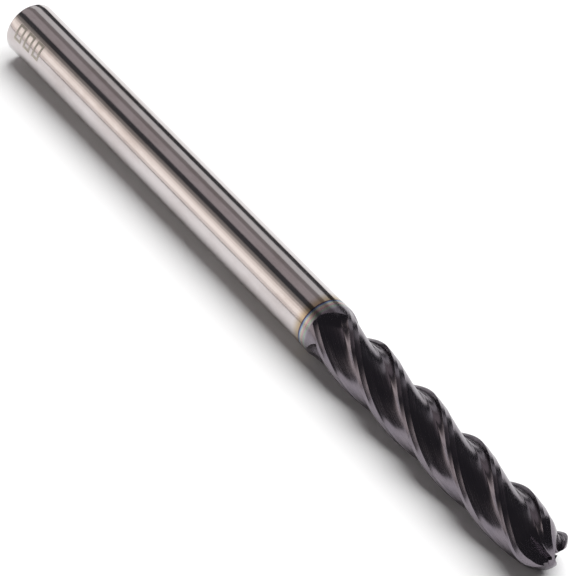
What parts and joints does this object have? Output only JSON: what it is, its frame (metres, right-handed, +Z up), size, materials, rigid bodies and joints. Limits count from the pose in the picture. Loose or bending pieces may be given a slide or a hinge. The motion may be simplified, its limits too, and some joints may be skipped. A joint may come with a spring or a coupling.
{
  "type": "ball-nose end mill",
  "caption": "Long solid carbide ball-nose end mill with a dark coated helical cutting end and a plain ground round shank.",
  "frame": {"origin": "on the tool's axis, at the centre of the shank's flat back end", "axes": "+X runs along the tool's axis from the back end to the cutting end, +Z is up with the tool lying on its side"},
  "size_m": [0.1016, 0.0064, 0.0064],
  "materials": {
    "bare_carbide": "ground and polished",
    "coated_carbide": "satin hard coating",
    "etched_mark": "frosted"
  },
  "bodies": {
    "root": {"shank": "bare_carbide", "coated_neck": "coated_carbide", "core": "coated_carbide", "tooth_1": "coated_carbide", "tooth_2": "coated_carbide", "tooth_3": "coated_carbide", "tooth_4": "coated_carbide", "size_mark": "etched_mark"}
  },
  "joints": []
}
